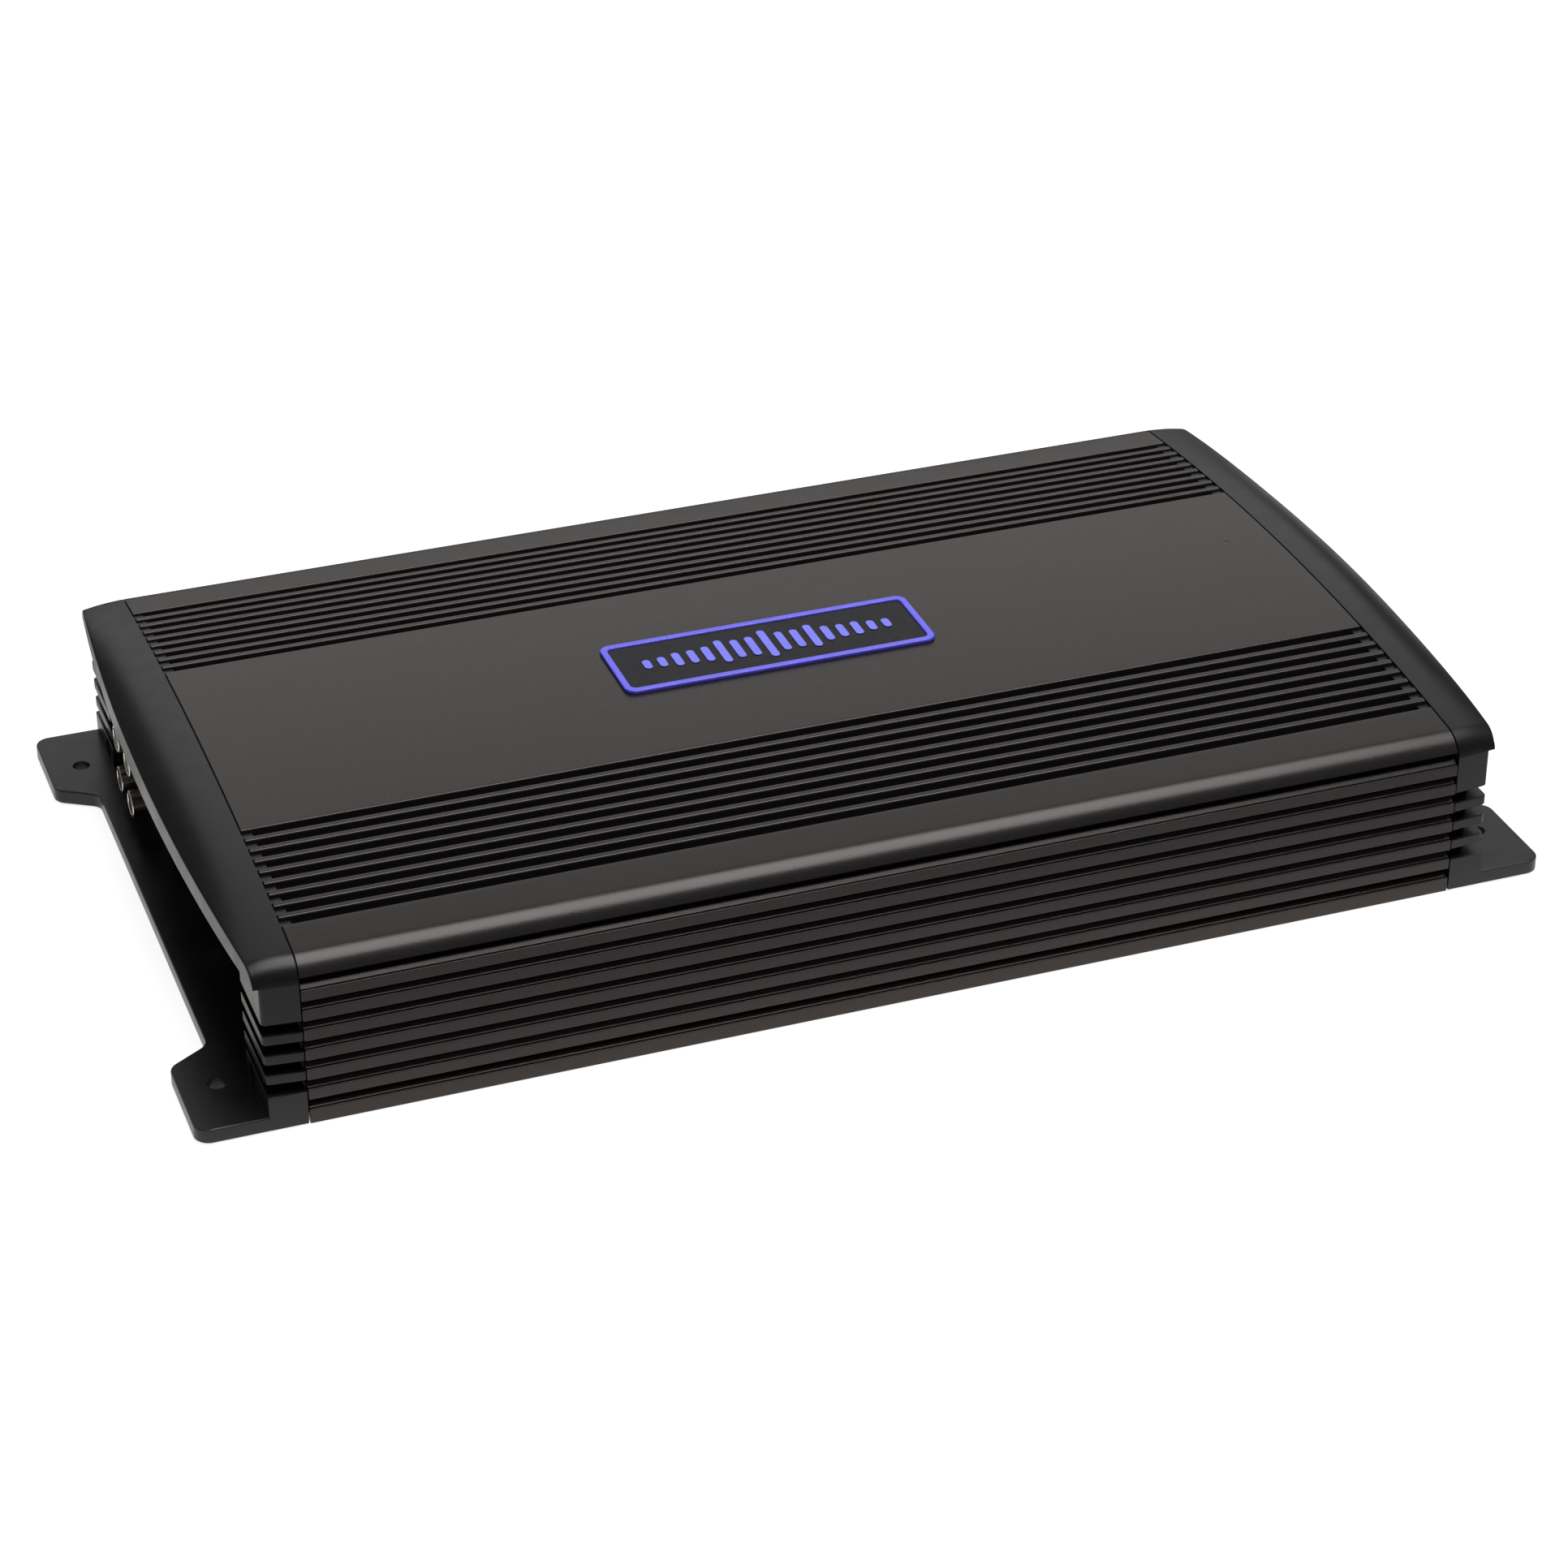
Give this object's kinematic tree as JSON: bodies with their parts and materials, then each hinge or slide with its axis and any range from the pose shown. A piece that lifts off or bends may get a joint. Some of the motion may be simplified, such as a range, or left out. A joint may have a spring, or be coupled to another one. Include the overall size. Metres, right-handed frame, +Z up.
{
  "type": "car amplifier",
  "caption": "Flat finned car amplifier with an arched top, cast end caps with mounting ears, signal controls at one end and power and speaker terminals with blade fuses at the other.",
  "frame": {"origin": "on the resting surface, under the middle of the body", "axes": "+X along the length from the signal end to the power end, +Y to the back, +Z up"},
  "size_m": [0.4048, 0.224, 0.0581],
  "materials": {
    "body_metal": "black anodised extrusion, fine satin grain",
    "cap_metal": "black powder coat, satin",
    "plate_steel": "black painted steel sheet",
    "screw_steel": "black oxide screws",
    "badge_blue": "blue-violet satin lacquer",
    "badge_black": "gloss black",
    "badge_mark": "printed light blue-violet",
    "lamp_lens": "smoked clear plastic",
    "led_blue": "clear blue",
    "led_red": "clear red",
    "black_plastic": "moulded black plastic",
    "white_plastic": "moulded white plastic",
    "red_plastic": "moulded red plastic",
    "nickel": "bright nickel plate",
    "gold": "gold flash plate",
    "knob_plastic": "moulded black plastic, fluted",
    "pot_green": "moulded housing",
    "switch_steel": "tinned steel can",
    "fuse_amber": "translucent amber plastic",
    "board_green": "solder-masked glass epoxy",
    "core_grey": "ferrite",
    "copper_wire": "enamelled copper wire",
    "can_sleeve": "shrink-sleeved aluminium can",
    "pad_grey": "silicone pad"
  },
  "bodies": {
    "chassis": {"heatsink": "body_metal", "end_cap_left": "cap_metal", "end_cap_right": "cap_metal", "bottom_plate": "plate_steel", "bottom_screws": "screw_steel", "cap_screws_upper": "screw_steel", "cap_screws_lower": "screw_steel", "badge_frame": "badge_blue", "badge_plate": "badge_black", "badge_bars": "badge_mark", "light_pipe": "lamp_lens", "power_led": "led_blue", "control_panel": "plate_steel", "phono_housing": "black_plastic", "phono_shells": "nickel", "phono_inserts_white": "white_plastic", "phono_inserts_red": "red_plastic", "phono_contacts": "gold", "pot_bodies": "pot_green", "switch_bodies": "switch_steel", "remote_jack": "black_plastic", "remote_contacts": "gold", "protect_led": "led_red", "power_panel": "plate_steel", "power_block": "black_plastic", "power_contacts": "nickel", "speaker_block": "black_plastic", "speaker_contacts": "nickel", "fuse_holder": "black_plastic", "circuit_board": "board_green", "standoffs": "nickel", "board_screws": "screw_steel", "transformer_cores": "core_grey", "transformer_windings": "copper_wire", "output_inductors": "copper_wire", "supply_capacitors": "can_sleeve", "transistors": "black_plastic", "transistor_clamps": "nickel", "clamp_screws": "screw_steel", "insulator_pads": "pad_grey"},
    "knob_level": {"knob_level": "knob_plastic"},
    "knob_low_pass": {"knob_low_pass": "knob_plastic"},
    "knob_subsonic": {"knob_subsonic": "knob_plastic"},
    "knob_bass_boost": {"knob_bass_boost": "knob_plastic"},
    "switch_phase": {"switch_phase": "white_plastic"},
    "switch_input": {"switch_input": "white_plastic"},
    "power_screw_battery": {"power_screw_battery": "nickel"},
    "power_screw_remote": {"power_screw_remote": "nickel"},
    "power_screw_ground": {"power_screw_ground": "nickel"},
    "speaker_screw_1": {"speaker_screw_1": "nickel"},
    "speaker_screw_2": {"speaker_screw_2": "nickel"},
    "speaker_screw_3": {"speaker_screw_3": "nickel"},
    "speaker_screw_4": {"speaker_screw_4": "nickel"},
    "fuse_1": {"fuse_body_1": "fuse_amber", "fuse_blades_1": "nickel"},
    "fuse_2": {"fuse_body_2": "fuse_amber", "fuse_blades_2": "nickel"},
    "fuse_3": {"fuse_body_3": "fuse_amber", "fuse_blades_3": "nickel"}
  },
  "joints": [
    {"name": "level_turn", "type": "hinge", "parent": "chassis", "child": "knob_level", "pos_m": [-0.175, 0.028, 0.031], "axis": [-1, 0, 0], "range_deg": [-140, 140]},
    {"name": "low_pass_turn", "type": "hinge", "parent": "chassis", "child": "knob_low_pass", "pos_m": [-0.175, 0.012, 0.031], "axis": [-1, 0, 0], "range_deg": [-140, 140]},
    {"name": "subsonic_turn", "type": "hinge", "parent": "chassis", "child": "knob_subsonic", "pos_m": [-0.175, -0.004, 0.031], "axis": [-1, 0, 0], "range_deg": [-140, 140]},
    {"name": "bass_boost_turn", "type": "hinge", "parent": "chassis", "child": "knob_bass_boost", "pos_m": [-0.175, -0.02, 0.031], "axis": [-1, 0, 0], "range_deg": [-140, 140]},
    {"name": "switch_phase_slide", "type": "slide", "parent": "chassis", "child": "switch_phase", "axis": [0, 1, 0], "range_m": [0, 0.004]},
    {"name": "switch_input_slide", "type": "slide", "parent": "chassis", "child": "switch_input", "axis": [0, 1, 0], "range_m": [0, 0.004]},
    {"name": "power_screw_battery_turn", "type": "hinge", "parent": "chassis", "child": "power_screw_battery", "pos_m": [0.17702, 0.017, 0.021], "axis": [1, 0, 0], "continuous": true},
    {"name": "power_screw_remote_turn", "type": "hinge", "parent": "chassis", "child": "power_screw_remote", "pos_m": [0.17702, 0.002, 0.021], "axis": [1, 0, 0], "continuous": true},
    {"name": "power_screw_ground_turn", "type": "hinge", "parent": "chassis", "child": "power_screw_ground", "pos_m": [0.17702, -0.013, 0.021], "axis": [1, 0, 0], "continuous": true},
    {"name": "speaker_screw_1_turn", "type": "hinge", "parent": "chassis", "child": "speaker_screw_1", "pos_m": [0.17702, 0.073, 0.021], "axis": [1, 0, 0], "continuous": true},
    {"name": "speaker_screw_2_turn", "type": "hinge", "parent": "chassis", "child": "speaker_screw_2", "pos_m": [0.17702, 0.062, 0.021], "axis": [1, 0, 0], "continuous": true},
    {"name": "speaker_screw_3_turn", "type": "hinge", "parent": "chassis", "child": "speaker_screw_3", "pos_m": [0.17702, 0.051, 0.021], "axis": [1, 0, 0], "continuous": true},
    {"name": "speaker_screw_4_turn", "type": "hinge", "parent": "chassis", "child": "speaker_screw_4", "pos_m": [0.17702, 0.04, 0.021], "axis": [1, 0, 0], "continuous": true},
    {"name": "fuse_1_pull", "type": "slide", "parent": "chassis", "child": "fuse_1", "axis": [1, 0, 0], "range_m": [0, 0.016]},
    {"name": "fuse_2_pull", "type": "slide", "parent": "chassis", "child": "fuse_2", "axis": [1, 0, 0], "range_m": [0, 0.016]},
    {"name": "fuse_3_pull", "type": "slide", "parent": "chassis", "child": "fuse_3", "axis": [1, 0, 0], "range_m": [0, 0.016]}
  ]
}
